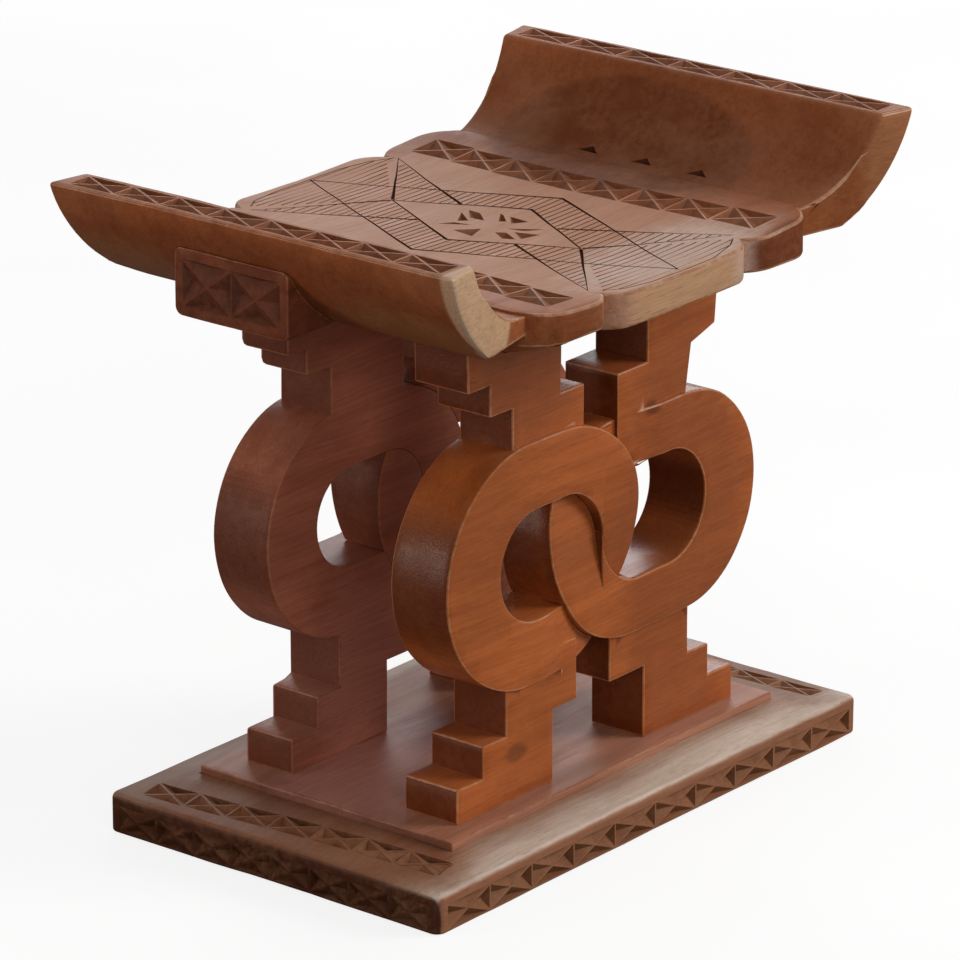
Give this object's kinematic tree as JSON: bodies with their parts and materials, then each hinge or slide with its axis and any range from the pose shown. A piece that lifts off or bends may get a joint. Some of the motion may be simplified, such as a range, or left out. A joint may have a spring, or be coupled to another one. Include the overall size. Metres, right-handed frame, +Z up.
{
  "type": "ashanti stool",
  "caption": "low carved stool with a curved seat, curled ends, two upright panels of linked rings and a flat base board",
  "frame": {"origin": "middle of the stool's footprint on the floor, at the underside of the base board", "axes": "+X along the seat to its right curled end, -Y the front, +Z up"},
  "size_m": [0.4182, 0.2854, 0.383],
  "materials": {
    "seat_wood": "adzed and scraped, dry, carved bands",
    "lug_wood": "dark stained, chip carved",
    "link_wood": "scraped smooth with fine horizontal grain",
    "plinth_wood": "dry, slightly polished by use",
    "base_wood": "dry, pale sapwood at the long edges, chip carved sides"
  },
  "bodies": {
    "root": {"seat": "seat_wood", "left_lug": "lug_wood", "right_lug": "lug_wood", "front_left_link": "link_wood", "front_right_link": "link_wood", "back_left_link": "link_wood", "back_right_link": "link_wood", "plinth": "plinth_wood", "base": "base_wood"}
  },
  "joints": []
}
